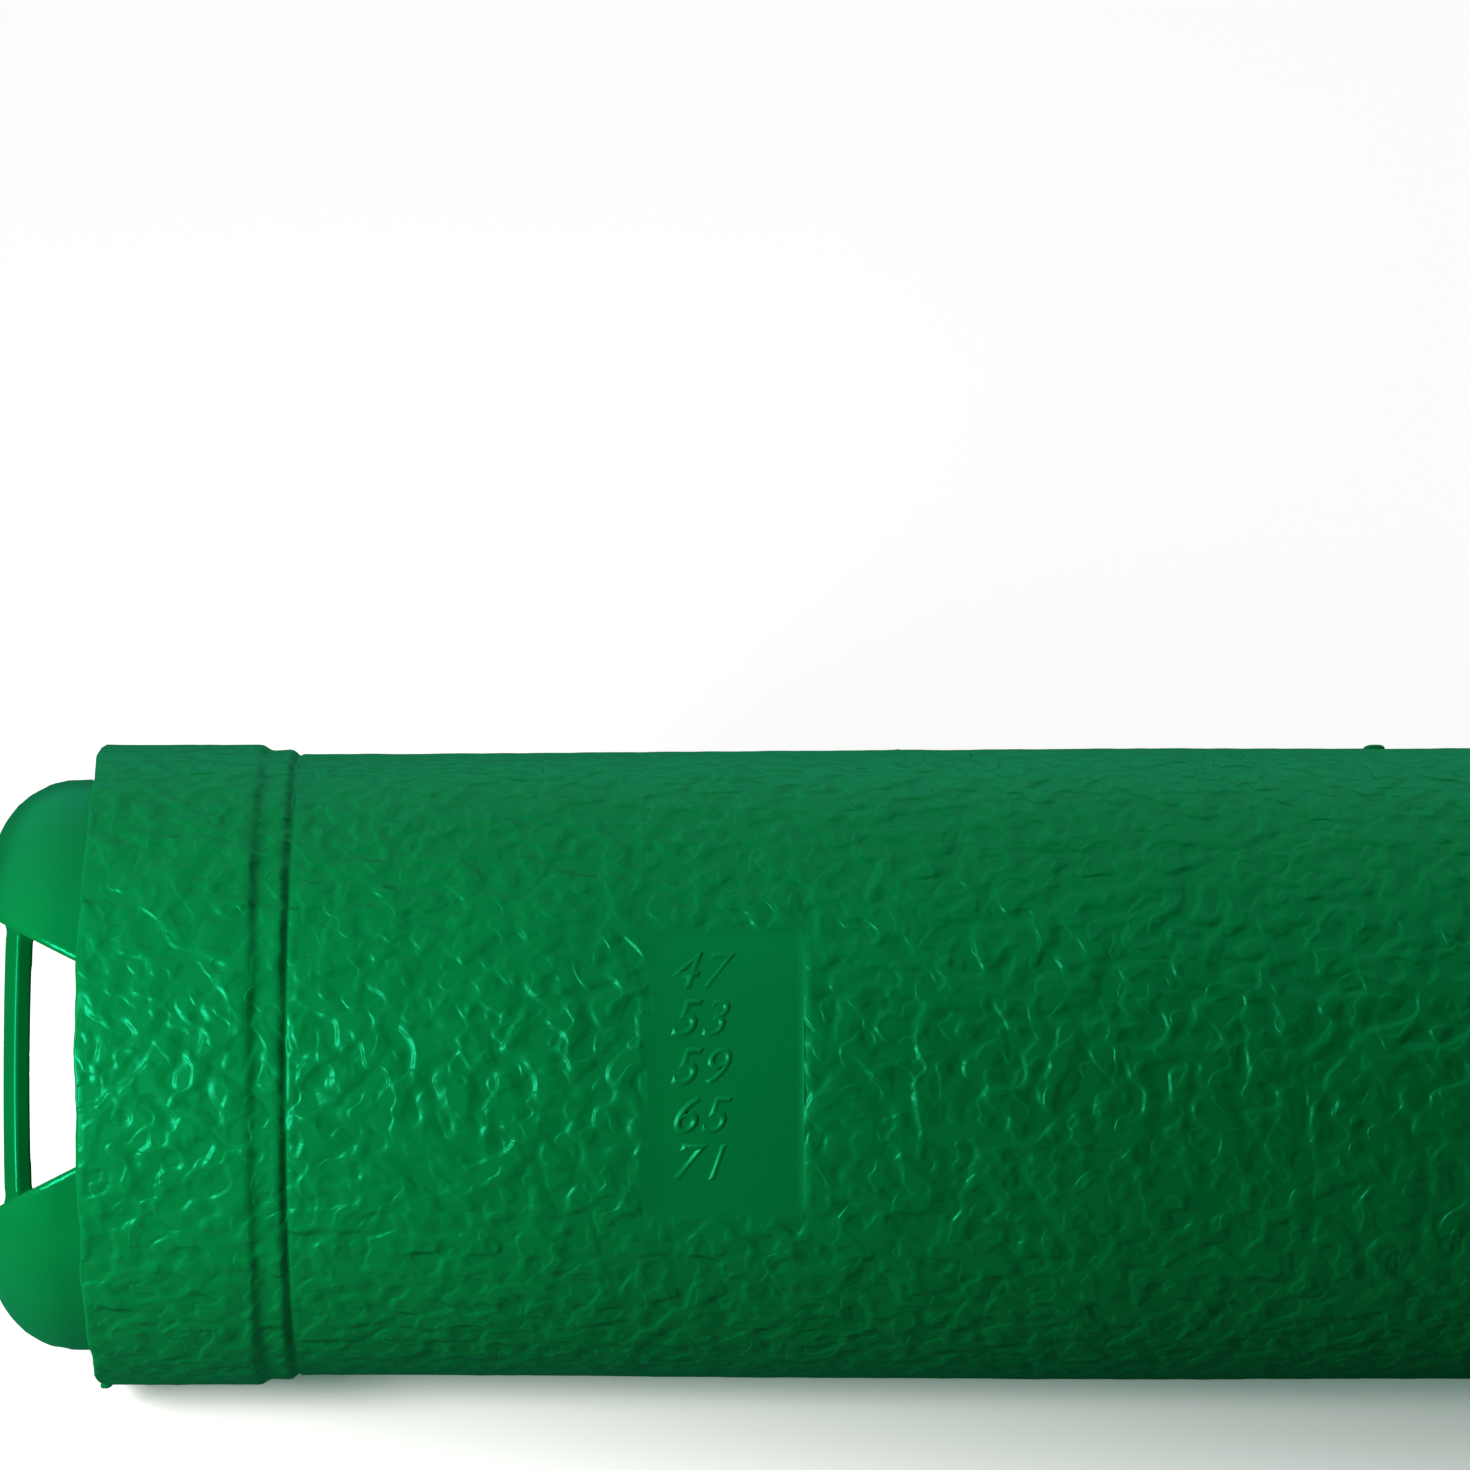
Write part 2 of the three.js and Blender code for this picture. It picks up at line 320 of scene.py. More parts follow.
def outer_radius(x, r, outside, angle):
    """Adds the uneven skin, the sunk panel, the mould's parting line and the trimmed mouth."""
    wobble = soft_noise(x, angle, LONG_WAVE, seed=3.1)
    fine = soft_noise(x, angle, SHORT_WAVE, seed=11.7)
    # trimmed edge: a knife cut that wanders a little
    at_mouth = np.clip(1 - np.abs(x) / TRIM_REACH, 0, 1)
    nowhere = np.zeros_like(x)
    cut = soft_noise(nowhere, angle, size=11.0, seed=7.3) * TRIM_WANDER
    cut = cut + soft_noise(nowhere, angle, size=3.0, seed=2.2) * TRIM_NICKS
    in_panel = panel_share(x, angle)
    skin = outside * (1 - in_panel)
    r = r + outside * wobble * OUTER_SWELL + skin * fine * OUTER_RIPPLE - in_panel * PANEL_DEPTH * outside
    # raised line where the two mould halves meet
    from_upper = np.abs((angle + math.pi) % (2 * math.pi) - math.pi)
    off = np.minimum(from_upper, np.abs(angle - math.pi)) * NECK_R
    nearest = np.round(angle / math.pi) * math.pi
    broken = np.clip(0.5 + soft_noise(x, nearest, size=9.0, seed=5.5), 0.2, 1)
    r = r + outside * np.exp(-(off / SEAM_HALF_WIDTH) ** 2) * SEAM_HEIGHT * broken
    return x + (cut + TRIM_BOW * np.cos(angle) ** 2) * at_mouth, r


def panel_share(x, angle):
    """1 on the sunk panel, 0 off it: a crisp right edge, and soft ones elsewhere."""
    along = smoothstep(PANEL_START - 0.5, PANEL_START + 3.5, x)
    along = along * (1 - smoothstep(PANEL_END - 0.16, PANEL_END + 0.16, x))
    top = smoothstep(PANEL_TOP - 0.004, PANEL_TOP + 0.02, angle)
    return along * top * (1 - smoothstep(PANEL_BOTTOM - 0.07, PANEL_BOTTOM + 0.02, angle))


def panel_smoothness(x, angle):
    """Where the mould has no grain: the panel, with a ragged left border."""
    ragged = x + soft_noise(np.zeros_like(x) + 55, angle, size=4.0, seed=8.8) * 2.2
    along = smoothstep(PANEL_START - 0.6, PANEL_START + 0.6, ragged)
    along = along * (1 - smoothstep(PANEL_END - 0.1, PANEL_END + 0.3, x))
    top = smoothstep(PANEL_TOP - 0.01, PANEL_TOP + 0.01, angle)
    return along * top * (1 - smoothstep(PANEL_BOTTOM - 0.02, PANEL_BOTTOM + 0.02, angle))


def outer_grain(x, outside, angle):
    return outside * (1 - panel_smoothness(x, angle)) * smoothstep(-0.2, 0.5, x)


def inner_stations():
    """Along the belts to the flared mouth, then back along the bore."""
    out = [(x, BELT_R, 1) for x in spaced(INNER_SHELL_START, BELT_LENGTH - 0.8, 1.3)]
    out += [(BELT_LENGTH - 0.35, BELT_R - 0.06, 1), (BELT_LENGTH + 0.1, INNER_R + 0.1, 1)]
    out += [(BELT_LENGTH + 0.6, INNER_R, 1)]
    for n in range(1, BELTS):
        s = n * BELT_PITCH
        out += [(x, INNER_R, 1) for x in spaced(out[-1][0] + 1.2, s - 0.6, COARSE_STEP)]
        out += [(s - 0.1, INNER_R + 0.08, 1), (s + 0.3, BELT_R - 0.06, 1)]
        out += [(x, BELT_R, 1) for x in spaced(s + 0.8, s + BELT_LENGTH - 0.8, COARSE_STEP)]
        out += [(s + BELT_LENGTH - 0.3, BELT_R - 0.06, 1), (s + BELT_LENGTH + 0.1, INNER_R + 0.08, 1)]
        out += [(s + BELT_LENGTH + 0.6, INNER_R, 1)]
    flare = INNER_MOUTH - FLARE_LENGTH
    out += [(x, INNER_R, 1) for x in spaced(out[-1][0] + 1.2, flare - 1.6, 1.9)]
    out += [(flare - 0.9, INNER_R + 0.06, 1), (flare - 0.4, INNER_R + 0.5, 1), (flare, FLARE_R - 0.08, 1)]
    out += [(x, FLARE_R, 0) for x in spaced(flare + 0.4, INNER_MOUTH - 0.9, 1.0)]
    out += [(INNER_MOUTH - 0.35, FLARE_R - 0.16, 0), (INNER_MOUTH - 0.05, FLARE_R - 0.6, 0)]
    out += [(INNER_MOUTH, FLARE_R - 1.2, 0)]
    out += [(INNER_MOUTH - back, r, 0) for back, r in LIP_AND_STEP]
    out += [(x, INNER_BORE_R, 0) for x in spaced(INNER_MOUTH - 12, INNER_SHELL_START, 30)]
    return out


def inner_radius(x, r, outside, angle):
    """Adds the uneven skin, fading out towards the closed end's own piece."""
    wobble = soft_noise(x, angle, LONG_WAVE, seed=23.1)
    fine = soft_noise(x, angle, SHORT_WAVE, seed=31.7)
    fade = smoothstep(INNER_SHELL_START + 0.5, 12, x)
    return x, r + outside * fade * (wobble * INNER_SWELL + fine * INNER_RIPPLE)


def inner_grain(x, outside, _angle):
    return outside * smoothstep(*INNER_GRAIN_FADE, x)


# Closed ends, from their distance field: a domed end, a wedge slot through it and a strap bar

def soft_max(a, b, k):
    h = np.clip(0.5 + 0.5 * (a - b) / k, 0, 1)
    return b + (a - b) * h + k * h * (1 - h)


def soft_min(a, b, k):
    return -soft_max(-a, -b, k)


def end_field(depth, u, v, radius, shoulder, shoulder_radius, length):
    """About the signed distance, in millimetres, to a closed end; depth runs inwards from its flat face."""
    r = np.hypot(u, v)
    qx = np.abs(depth - DOME_HALF_LENGTH) - (DOME_HALF_LENGTH - END_CORNER)
    qr = r - (radius - END_CORNER)
    dome = np.minimum(np.maximum(qx, qr), 0) + np.hypot(np.maximum(qx, 0), np.maximum(qr, 0)) - END_CORNER
    if shoulder is not None:
        ring = soft_max(r - shoulder_radius, shoulder - depth, SHOULDER_ROUND)
        dome = soft_min(dome, ring, SHOULDER_FILLET)
    slope = (SLOT_MOUTH - SLOT_FLOOR) / 2 / SLOT_DEPTH
    lean = math.hypot(1, slope)
    sides = (np.abs(u) - (SLOT_MOUTH / 2 - slope * depth)) / lean
    slot = soft_max(sides, depth - SLOT_DEPTH, SLOT_FLOOR_ROUND)
    end = soft_max(dome, -slot, SLOT_EDGE_ROUND)
    # strap bar: roof-shaped on both faces, bowed outwards, with swept roots
    half = SLOT_MOUTH / 2 - slope * BAR_INSET
    share = np.clip(np.abs(u) / half, 0, 1)
    centre = BAR_INSET - BAR_BOW * (1 - share ** 2)
    bx = np.abs(depth - centre)
    bv = np.abs(v)
    roof = bx * ROOF_DEPTH_WEIGHT + bv * ROOF_SIDE_WEIGHT - ROOF_SIZE
    bar = soft_max(roof, bx - RIDGE_FLAT, RIDGE_ROUND)
    bar = soft_max(bar, np.abs(u) - half - BAR_ROOT_DEPTH, BAR_END_ROUND)
    end = soft_min(end, bar, BAR_ROOT_FILLET)
    return np.maximum(end, depth - length)


def net_from_field(field, low, high, step):
    """Surface net of a field's zero level: points moved onto the surface, and quads facing out."""
    axes = [np.arange(lo, hi + step, step) for lo, hi in zip(low, high)]
    gx, gy, gz = np.meshgrid(*axes, indexing="ij")
    s = field(gx, gy, gz)
    sign = s < 0
    nx, ny, nz = s.shape
    corners = [(i, j, k) for i in (0, 1) for j in (0, 1) for k in (0, 1)]
    view = {c: tuple(slice(start, n - 1 + start) for start, n in zip(c, (nx, ny, nz))) for c in corners}
    total = sum(sign[view[c]].astype(int) for c in corners)
    active = (total > 0) & (total < 8)
    index = -np.ones(active.shape, dtype=np.int64)
    index[active] = np.arange(active.sum())
    where = np.argwhere(active)
    acc = np.zeros((len(where), 3))
    weight = np.zeros(len(where))
    for a in corners:
        for b in corners:
            if a < b and sum(abs(p - q) for p, q in zip(a, b)) == 1:
                sa = s[view[a]][active]
                sb = s[view[b]][active]
                cross = (sa < 0) != (sb < 0)
                t = np.where(cross, sa / np.where(cross, sa - sb, 1), 0)
                point = np.array(a)[None, :] + t[:, None] * (np.array(b) - np.array(a))[None, :]
                acc += point * cross[:, None]
                weight += cross
    points = np.array(low)[None, :] + (where + acc / weight[:, None]) * step
    faces = []
    for axis in range(3):
        o1, o2 = [a for a in range(3) if a != axis]
        lo = [slice(1, n - 1) for n in s.shape]
        lo[axis] = slice(0, s.shape[axis] - 1)
        hi = list(lo)
        hi[axis] = slice(1, s.shape[axis])
        sa, sb = sign[tuple(lo)], sign[tuple(hi)]
        for flip, hit in ((False, sa & ~sb), (True, ~sa & sb)):
            at = np.argwhere(hit)
            if not len(at):
                continue
            base = at.copy()
            base[:, o1] += 1
            base[:, o2] += 1
            quad = []
            for d1, d2 in ((-1, -1), (0, -1), (0, 0), (-1, 0)):
                cell = base.copy()
                cell[:, o1] += d1
                cell[:, o2] += d2
                quad.append(index[cell[:, 0], cell[:, 1], cell[:, 2]])
            quad = np.stack(quad, axis=1)
            turned = flip if axis != 1 else not flip
            faces.append(quad[:, ::-1] if turned else quad)
    faces = np.concatenate(faces)
    # moved along the field's slope until they lie on the surface
    e = 1e-3
    for _ in range(4):
        x, y, z = points.T
        value = field(x, y, z)
        grad = np.stack([field(x + e, y, z) - field(x - e, y, z),
                         field(x, y + e, z) - field(x, y - e, z),
                         field(x, y, z + e) - field(x, y, z - e)], axis=1) / (2 * e)
        size = np.maximum((grad ** 2).sum(axis=1), 0.05)
        points = points - np.clip(value / size, -step, step)[:, None] * grad
    return points, faces


def closed_end(name, facing, end_place, radius, shoulder, shoulder_radius, length, step):
    def field(depth, u, v):
        return end_field(depth, u, v, radius, shoulder, shoulder_radius, length)
    reach = max(radius, shoulder_radius) + 1.5
    points, faces = net_from_field(field, (-1.5, -reach, -reach), (length + 1.2, reach, reach), step)
    x = end_place - facing * points[:, 0]
    if facing > 0:
        faces = faces[:, ::-1]
    grain = smoothstep(*INNER_GRAIN_FADE, x) if facing < 0 else np.zeros(len(x))
    return make_mesh(name, place(x, points[:, 1], points[:, 2]), faces, grain)


# Materials

def node(tree, kind, **values):
    made = tree.nodes.new(kind)
    for key, value in values.items():
        if key in made.inputs:
            made.inputs[key].default_value = value
        else:
            setattr(made, key, value)
    return made


def math_node(tree, operation, a, b):
    made = tree.nodes.new("ShaderNodeMath")
    made.operation = operation
    for socket, value in zip(made.inputs, (a, b)):
        if isinstance(value, (int, float)):
            socket.default_value = value
        else:
            tree.links.new(value, socket)
    return made.outputs[0]


def ramp_between(tree, value, low, high, to_low=0.0, to_high=1.0):
    made = tree.nodes.new("ShaderNodeMapRange")
    made.interpolation_type = "SMOOTHSTEP"
    made.inputs["From Min"].default_value = low
    made.inputs["From Max"].default_value = high
    made.inputs["To Min"].default_value = to_low
    made.inputs["To Max"].default_value = to_high
    tree.links.new(value, made.inputs["Value"])
    return made.outputs["Result"]


def millimetres(tree):
    """The piece's own coordinates, in millimetres."""
    coords = tree.nodes.new("ShaderNodeTexCoord")
    scale = tree.nodes.new("ShaderNodeVectorMath")
    scale.operation = "SCALE"
    scale.inputs["Scale"].default_value = 1000.0
    tree.links.new(coords.outputs["Object"], scale.inputs[0])
    return scale.outputs[0]


def noise_value(tree, vector, size, detail, rough=0.5, colour=False):
    made = node(tree, "ShaderNodeTexNoise", Scale=1.0 / size, Detail=detail, Roughness=rough)
    tree.links.new(vector, made.inputs["Vector"])
    return made.outputs["Color" if colour else "Fac"]


def warped(tree, vector, size, amount):
    """The coordinates pushed about by noise, so that the pebbles get irregular outlines."""
    push = node(tree, "ShaderNodeVectorMath", operation="SUBTRACT")
    tree.links.new(noise_value(tree, vector, size, 0.0, colour=True), push.inputs[0])
    push.inputs[1].default_value = (0.5, 0.5, 0.5)
    grow = node(tree, "ShaderNodeVectorMath", operation="SCALE")
    tree.links.new(push.outputs[0], grow.inputs[0])
    grow.inputs["Scale"].default_value = amount
    add = node(tree, "ShaderNodeVectorMath", operation="ADD")
    tree.links.new(vector, add.inputs[0])
    tree.links.new(grow.outputs[0], add.inputs[1])
    return add.outputs[0]


def pebbles(tree, vector, size, low, high):
    """Flat-topped pebbles that run together: noise cut between two levels."""
    return ramp_between(tree, noise_value(tree, vector, size, 0.0), low, high)


def leaning(tree, vector, size, amount):
    """Coordinates that make what rises along the tube steep, and what falls gentle."""
    first = math_node(tree, "SUBTRACT", noise_value(tree, vector, size, 0.0), 0.5)
    shift = tree.nodes.new("ShaderNodeCombineXYZ")
    tree.links.new(math_node(tree, "MULTIPLY", first, amount), shift.inputs["X"])
    add = node(tree, "ShaderNodeVectorMath", operation="ADD")
    tree.links.new(vector, add.inputs[0])
    tree.links.new(shift.outputs[0], add.inputs[1])
    return add.outputs[0]


def grain_height(tree, where):
    """Height of the leather grain, about 0 on average: smooth pebbles that run together."""
    bent = leaning(tree, warped(tree, where, BIG_WARP_SIZE, BIG_WARP), BIG_PEBBLE, BIG_LEAN)
    big = pebbles(tree, bent, BIG_PEBBLE, 0.36, 0.62)
    small = pebbles(tree, leaning(tree, where, SMALL_PEBBLE, SMALL_LEAN), SMALL_PEBBLE, 0.46, 0.66)
    swell = noise_value(tree, where, SWELL_SIZE, 1.0)
    parts = ((big, BIG_HEIGHT), (small, SMALL_HEIGHT), (swell, SWELL_HEIGHT))
    weighted = [math_node(tree, "MULTIPLY", part, share) for part, share in parts]
    tall = math_node(tree, "ADD", weighted[0], weighted[1])
    return math_node(tree, "SUBTRACT", math_node(tree, "ADD", tall, weighted[2]), GRAIN_MIDDLE)


def plastic(name, is_grained, roughness):
    material = bpy.data.materials.new(name)
    material.use_nodes = True
    tree = material.node_tree
    tree.nodes.clear()
    out = tree.nodes.new("ShaderNodeOutputMaterial")
    shader = tree.nodes.new("ShaderNodeBsdfPrincipled")
    tree.links.new(shader.outputs[0], out.inputs["Surface"])
    shader.inputs["Specular Tint"].default_value = HIGHLIGHT_TINT
    shader.inputs["Specular IOR Level"].default_value = 0.5
    where = millimetres(tree)
    fine = noise_value(tree, where, 0.45, 3.0, 0.6)
    cloud = noise_value(tree, where, 26.0, 2.0)
    mix = tree.nodes.new("ShaderNodeMix")
    mix.data_type = "RGBA"
    mix.inputs[6].default_value = GREEN_DEEP
    mix.inputs[7].default_value = GREEN
    tree.links.new(mix.outputs[2], shader.inputs["Base Color"])
    bump = tree.nodes.new("ShaderNodeBump")
    bump.inputs["Strength"].default_value = 1.0
    bump.inputs["Distance"].default_value = GRAIN_DEPTH_M if is_grained else SMOOTH_DEPTH_M
    tree.links.new(bump.outputs[0], shader.inputs["Normal"])
    if is_grained:
        mask = node(tree, "ShaderNodeAttribute", attribute_name="grain").outputs["Fac"]
        height = math_node(tree, "MULTIPLY", grain_height(tree, where), mask)
        relief = math_node(tree, "ADD", height, math_node(tree, "MULTIPLY", fine, 0.03))
        # painted shade: darker in the grain's valleys; and darker in slow clouds, a tone that differs at
        # random
        clouds = ramp_between(tree, cloud, 0.3, 0.7, 0.55, 1.0)
        share = math_node(tree, "MULTIPLY", clouds, ramp_between(tree, height, -0.7, 0.2, 0.7, 1.0))
        rough = ramp_between(tree, fine, 0.3, 0.7, roughness - 0.05, roughness + 0.06)
    else:
        slow = noise_value(tree, where, 7.0, 1.0)
        relief = math_node(tree, "ADD", math_node(tree, "MULTIPLY", fine, 0.4), slow)
        share = ramp_between(tree, cloud, 0.3, 0.7)
        rough = ramp_between(tree, cloud, 0.3, 0.7, roughness - 0.03, roughness + 0.04)
    tree.links.new(relief, bump.inputs["Height"])
    tree.links.new(share, mix.inputs[0])
    tree.links.new(rough, shader.inputs["Roughness"])
    return material


# Raised figures on the size panel, and the marks of moulding

def wrap_to_tube(mesh, x_start, angle, radius):
    """Lays a flat mesh in millimetres (x along the tube, y up, z out) on the tube's front."""
    count = len(mesh.vertices)
    co = np.empty(count * 3, dtype=np.float32)
    mesh.vertices.foreach_get("co", co)
    co = co.reshape(-1, 3).astype(float)
    a = angle - co[:, 1] / radius
    r = radius + FIGURE_SLOPE * co[:, 2]
    moved = place(x_start + co[:, 0], r * np.cos(a), r * np.sin(a))
    mesh.vertices.foreach_set("co", moved.astype(np.float32).ravel())
    mesh.update()


def figure_rows(material):
    """One row of plain numbers for each belt: the tube's length in centimetres."""
    base = BODY_R - PANEL_DEPTH - FIGURE_SINK
    for n, text in enumerate(FIGURE_ROWS):
        curve = bpy.data.curves.new("figures", "FONT")
        curve.body = text
        curve.size = FIGURE_SIZE
        curve.shear = FIGURE_SHEAR
        curve.extrude = 0.0
        curve.offset = FIGURE_THINNING
        curve.bevel_depth = FIGURE_STROKE
        curve.bevel_resolution = 0
        curve.space_character = FIGURE_SPACING
        curve.resolution_u = 6
        holder = bpy.data.objects.new("figures_source", curve)
        bpy.context.collection.objects.link(holder)
        bpy.context.view_layer.update()
        depsgraph = bpy.context.evaluated_depsgraph_get()
        mesh = bpy.data.meshes.new_from_object(holder.evaluated_get(depsgraph))
        bpy.data.objects.remove(holder)
        mesh.name = "figures_%d" % (n + 1)
        mesh.materials.clear()
        wrap_to_tube(mesh, FIGURE_START, FIGURE_MIDDLE + (n - 2) * FIGURE_PITCH / base, base)
        mesh.polygons.foreach_set("use_smooth", np.ones(len(mesh.polygons), dtype=bool))
        mesh.set_sharp_from_angle(angle=math.radians(50))
        new_object("figures_%d" % (n + 1), mesh, material, "outer")


def mound(name, x, angle, radius, size, height, lean, material, body):
    """Small rounded nub standing on the tube, its foot sunk half a millimetre."""
    rings, around, sunk = 6, 16, 0.5
    points, faces = [], []
    for i in range(rings + 1):
        t = i / rings
        for j in range(around):
            a = 2 * math.pi * j / around
            wide = size * math.cos(t * math.pi / 2) ** 0.6 + 0.02
            lift = -sunk + (height + sunk) * math.sin(t * math.pi / 2)
            px = x + wide * math.cos(a) + lean * lift
            pa = angle + wide * 0.55 * math.sin(a) / radius
            pr = radius + lift
            points.append(place(px, pr * math.cos(pa), pr * math.sin(pa)))
    for i in range(rings):
        for j in range(around):
            k = (j + 1) % around
            faces.append((i * around + j, i * around + k, (i + 1) * around + k, (i + 1) * around + j))
    mesh = bpy.data.meshes.new(name)
    ends = [tuple(range(around))[::-1], tuple(range(rings * around, (rings + 1) * around))]
    mesh.from_pydata([tuple(p) for p in points], [], faces + ends)
    mesh.polygons.foreach_set("use_smooth", np.ones(len(mesh.polygons), dtype=bool))
    return new_object(name, mesh, material, body)


def parting_seam(name, side, end_place, facing, radius, last, material, body):
    """Thin notched ridge that the mould leaves round a lobe, in the plane of the strap bars."""
    turn = np.linspace(0, math.pi / 2, 22)
    step = 0.9
    flat = np.arange(SLOT_MOUTH / 2 + 1.6, radius - END_CORNER, step)
    straight = np.arange(END_CORNER + step, last, step)
    depth = np.concatenate([np.zeros(len(flat)), END_CORNER * (1 - np.cos(turn)), straight])
    corner = radius - END_CORNER + END_CORNER * np.sin(turn)
    reach = np.concatenate([flat, corner, np.full(len(straight), radius)])
    out_depth = np.concatenate([-np.ones(len(flat)), -np.cos(turn), np.zeros(len(straight))])
    out_reach = np.concatenate([np.zeros(len(flat)), np.sin(turn), np.ones(len(straight))])
    across = np.array([-0.42, -0.22, 0.0, 0.22, 0.42])
    height = np.array([-0.3, 0.13, 0.24, 0.13, -0.3])
    points, faces = [], []
    for i, (d, r, nd, nr) in enumerate(zip(depth, reach, out_depth, out_reach)):
        notch = 0.75 + 0.9 * noise.noise(Vector((i * 0.45, side * 3.0, 4.2)))
        for a, h in zip(across, height):
            lift = h * notch if h > 0 else h
            points.append(place(end_place - facing * (d + nd * lift), side * (r + nr * lift), a))
    wide = len(across)
    for i in range(len(depth) - 1):
        for j in range(wide):
            k = (j + 1) % wide
            faces.append((i * wide + j, (i + 1) * wide + j, (i + 1) * wide + k, i * wide + k))
    ends = [tuple(range(wide)), tuple(range((len(depth) - 1) * wide, len(depth) * wide))[::-1]]
    if facing * side > 0:
        faces = [f[::-1] for f in faces]
        ends = [f[::-1] for f in ends]
    mesh = bpy.data.meshes.new(name)
    mesh.from_pydata([tuple(p) for p in points], [], faces + ends)
    return new_object(name, mesh, material, body)


# The two tubes, each a shell and a closed end, with their marks

grained = plastic("grained_green", True, GRAINED_ROUGHNESS)
smooth = plastic("smooth_green", False, SMOOTH_ROUGHNESS)

edges = [0.0, math.pi, PANEL_TOP - EDGE_GAP, PANEL_TOP + EDGE_GAP]
edges += [PANEL_BOTTOM - EDGE_GAP, PANEL_BOTTOM + EDGE_GAP]
edges += [-SEAM_GAP, SEAM_GAP, math.pi - SEAM_GAP, math.pi + SEAM_GAP]
outer_columns = angle_columns(edges, OUTER_COLUMNS)
outer_mesh = closed_shell("outer_shell", outer_stations(), outer_columns, outer_radius, outer_grain)
outer_shell = new_object("outer_shell", outer_mesh, grained, "outer")
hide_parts("outer_tube")

inner_columns = angle_columns([0.0, math.pi], INNER_COLUMNS)
inner_mesh = closed_shell("inner_shell", inner_stations(), inner_columns, inner_radius, inner_grain)
inner_shell = new_object("inner_shell", inner_mesh, grained, "inner")
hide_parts("inner_tube")

inner_end = closed_end("inner_closed_end", facing=-1, end_place=INNER_END, radius=END_R,
                       shoulder=SHOULDER_DEPTH, shoulder_radius=BELT_R, length=INNER_END_REACH, step=0.55)
new_object("inner_closed_end", inner_end, smooth, "inner")

outer_end = closed_end("outer_closed_end", facing=1, end_place=OUTER_END, radius=BODY_R,
                       shoulder=None, shoulder_radius=BODY_R, length=OUTER_END_REACH, step=0.6)
new_object("outer_closed_end", outer_end, smooth, "outer")

for side, which in ((1, "upper"), (-1, "lower")):
    parting_seam("inner_seam_" + which, side, end_place=INNER_END, facing=-1, radius=END_R, last=14.5,
                 material=smooth, body="inner")
    parting_seam("outer_seam_" + which, side, end_place=OUTER_END, facing=1, radius=BODY_R, last=30.0,
                 material=smooth, body="outer")

figure_rows(grained)
mound("mouth_flash", x=1.1, angle=math.pi, radius=COLLAR_R, size=0.95, height=0.62, lean=-0.5,
      material=grained, body="outer")
mound("parting_nub_large", x=185.7, angle=0.0, radius=BODY_R, size=1.75, height=0.62, lean=0.35,
      material=grained, body="outer")
mound("parting_nub_small", x=116, angle=0.0, radius=45.6, size=0.7, height=0.22, lean=0.0,
      material=grained, body="outer")


# Floor, light and camera

def look_at(obj, target):
    direction = Vector(target) - obj.location
    obj.rotation_euler = direction.to_track_quat("-Z", "Y").to_euler()


def area_light(name, location, target, size, energy, colour):
    data = bpy.data.lights.new(name, "AREA")
    data.shape = "RECTANGLE"
    data.size, data.size_y = size
    data.energy = energy
    data.color = colour
    obj = bpy.data.objects.new(name, data)
    obj.location = location
    look_at(obj, target)
    bpy.context.collection.objects.link(obj)


def floor_material():
    """Pale floor that looks white but gives little light back to the tube."""
    material = bpy.data.materials.new("floor_white")
    material.use_nodes = True
    tree = material.node_tree
    tree.nodes.clear()
    out = tree.nodes.new("ShaderNodeOutputMaterial")
    seen = node(tree, "ShaderNodeBsdfDiffuse", Color=FLOOR_SEEN)
    unseen = node(tree, "ShaderNodeBsdfDiffuse")
    tint = node(tree, "ShaderNodeMix", data_type="RGBA")
    tint.inputs[6].default_value = FLOOR_TO_DIFFUSE
    tint.inputs[7].default_value = FLOOR_TO_GLOSS
    tree.links.new(tint.outputs[2], unseen.inputs["Color"])
    lift = node(tree, "ShaderNodeEmission", Color=FLOOR_LIFT, Strength=FLOOR_LIFT_STRENGTH)
    both = tree.nodes.new("ShaderNodeAddShader")
    tree.links.new(seen.outputs[0], both.inputs[0])
    tree.links.new(lift.outputs[0], both.inputs[1])
    path = tree.nodes.new("ShaderNodeLightPath")
    mix = tree.nodes.new("ShaderNodeMixShader")
    tree.links.new(path.outputs["Is Glossy Ray"], tint.inputs[0])
    tree.links.new(path.outputs["Is Camera Ray"], mix.inputs[0])
    tree.links.new(unseen.outputs[0], mix.inputs[1])
    tree.links.new(both.outputs[0], mix.inputs[2])
    tree.links.new(mix.outputs[0], out.inputs["Surface"])
    return material


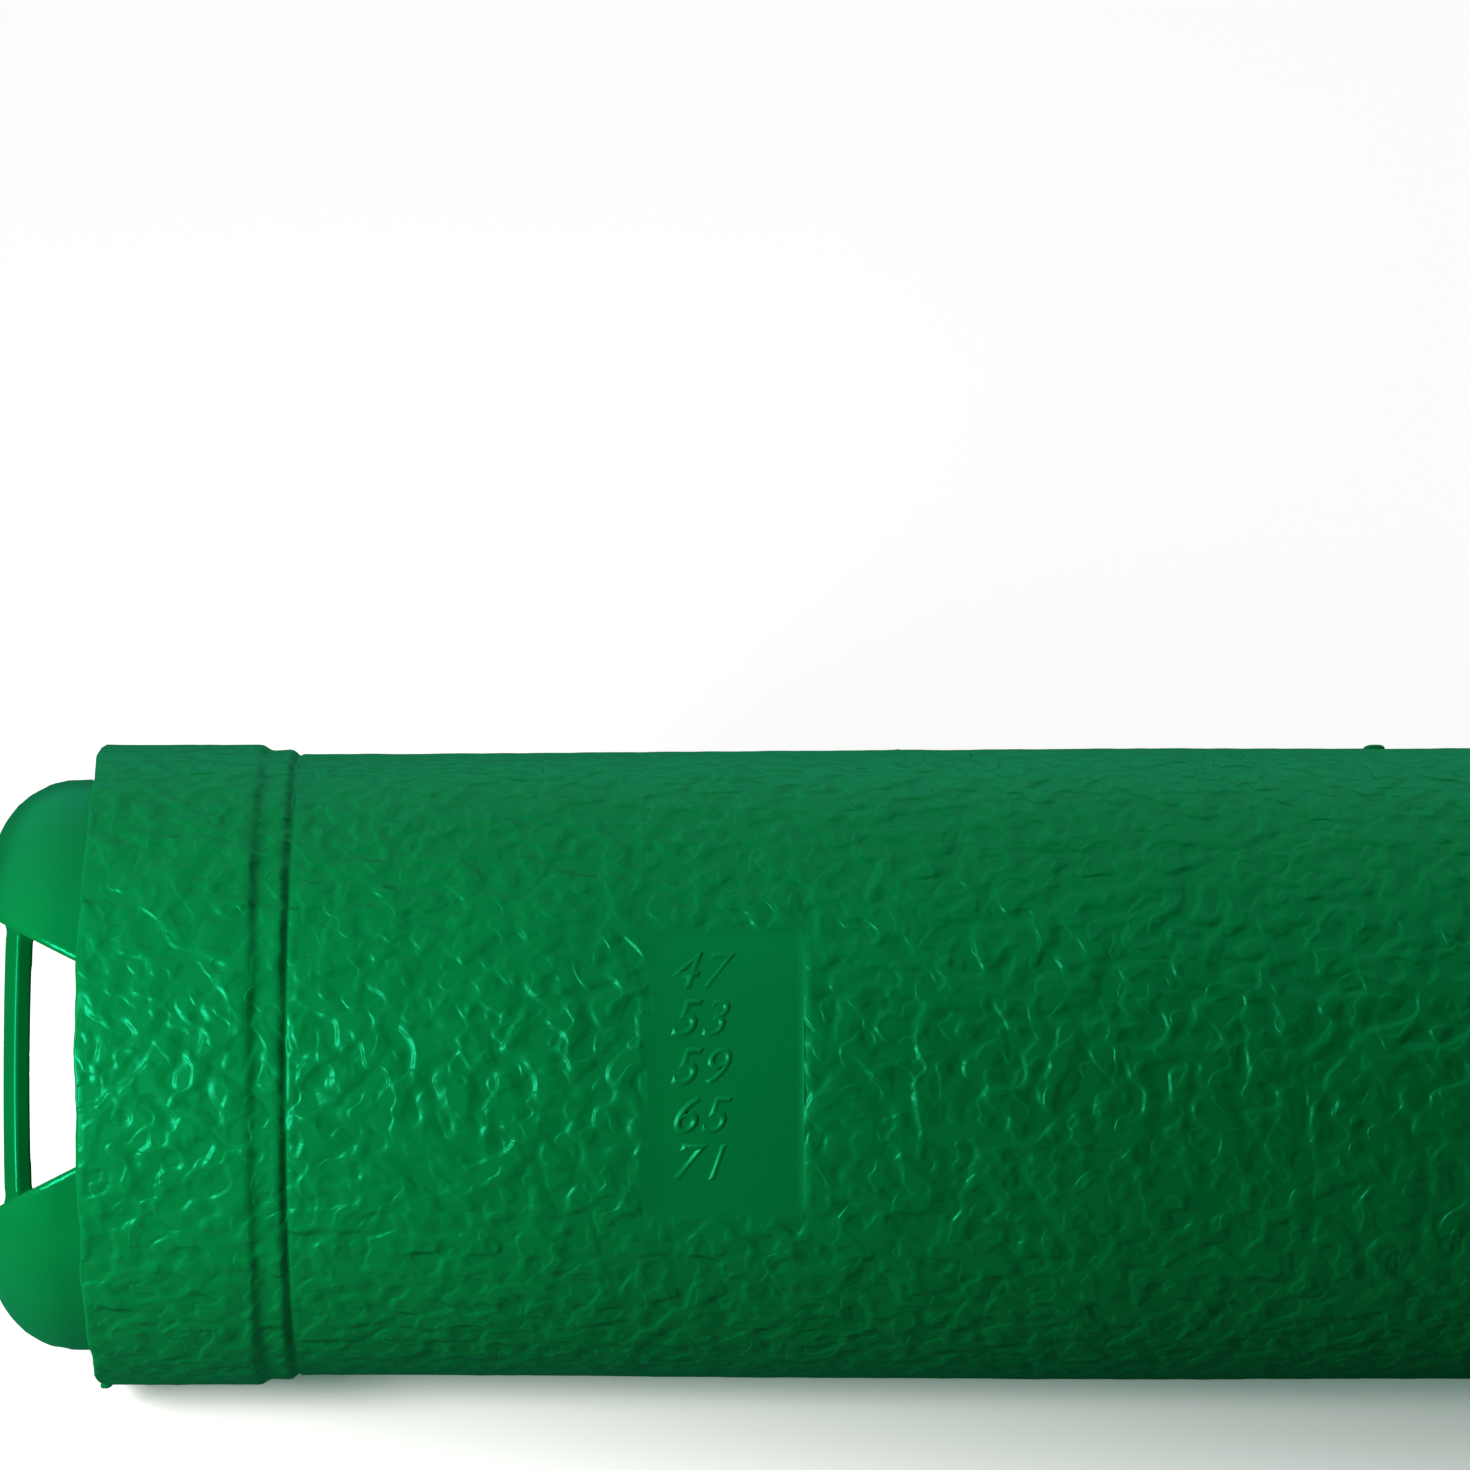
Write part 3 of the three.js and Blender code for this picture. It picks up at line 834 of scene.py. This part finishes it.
def studio_world():
    """Soft light from a wide ceiling, darker towards the horizon."""
    world = bpy.data.worlds.new("studio")
    world.use_nodes = True
    tree = world.node_tree
    back = tree.nodes["Background"]
    path = tree.nodes.new("ShaderNodeLightPath")
    tint = node(tree, "ShaderNodeMix", data_type="RGBA")
    tint.inputs[6].default_value = DOME_COLOUR
    tint.inputs[7].default_value = DOME_GLOSS
    tree.links.new(path.outputs["Is Glossy Ray"], tint.inputs[0])
    tree.links.new(tint.outputs[2], back.inputs["Color"])
    coords = tree.nodes.new("ShaderNodeTexCoord")
    lean = node(tree, "ShaderNodeVectorMath", operation="DOT_PRODUCT")
    lean.inputs[1].default_value = Vector(DOME_LEAN).normalized()
    tree.links.new(coords.outputs["Generated"], lean.inputs[0])
    strength = ramp_between(tree, lean.outputs["Value"], 0.10, 0.85, 0.02, 1.0)
    tree.links.new(strength, back.inputs["Strength"])
    bpy.context.scene.world = world


corners = [(-FLOOR_HALF, -FLOOR_HALF, 0), (FLOOR_HALF, -FLOOR_HALF, 0)]
corners += [(FLOOR_HALF, FLOOR_HALF, 0), (-FLOOR_HALF, FLOOR_HALF, 0)]
floor = make_mesh("floor", corners, [(0, 1, 2, 3)])
floor_obj = bpy.data.objects.new("floor", floor)
floor_obj.location.z = -FLOOR_DROP
floor.materials.append(floor_material())
bpy.context.collection.objects.link(floor_obj)

studio_world()
area_light("key_left", KEY_PLACE, KEY_TARGET, KEY_SIZE, KEY_POWER, KEY_COLOUR)

camera_data = bpy.data.cameras.new("camera")
camera_data.lens = SENSOR_WIDTH * FOCAL_PIXELS / IMAGE_WIDTH
camera_data.sensor_width = SENSOR_WIDTH
camera_data.clip_end = 50
camera = bpy.data.objects.new("camera", camera_data)
view = Vector(CAMERA_VIEW)
right = Vector(CAMERA_RIGHT)
turned = Matrix((right, right.cross(view), -view)).transposed().to_4x4()
camera.matrix_world = Matrix.Translation(CAMERA_PLACE) @ turned
bpy.context.collection.objects.link(camera)
bpy.context.scene.camera = camera
bpy.context.scene.view_settings.view_transform = "Standard"
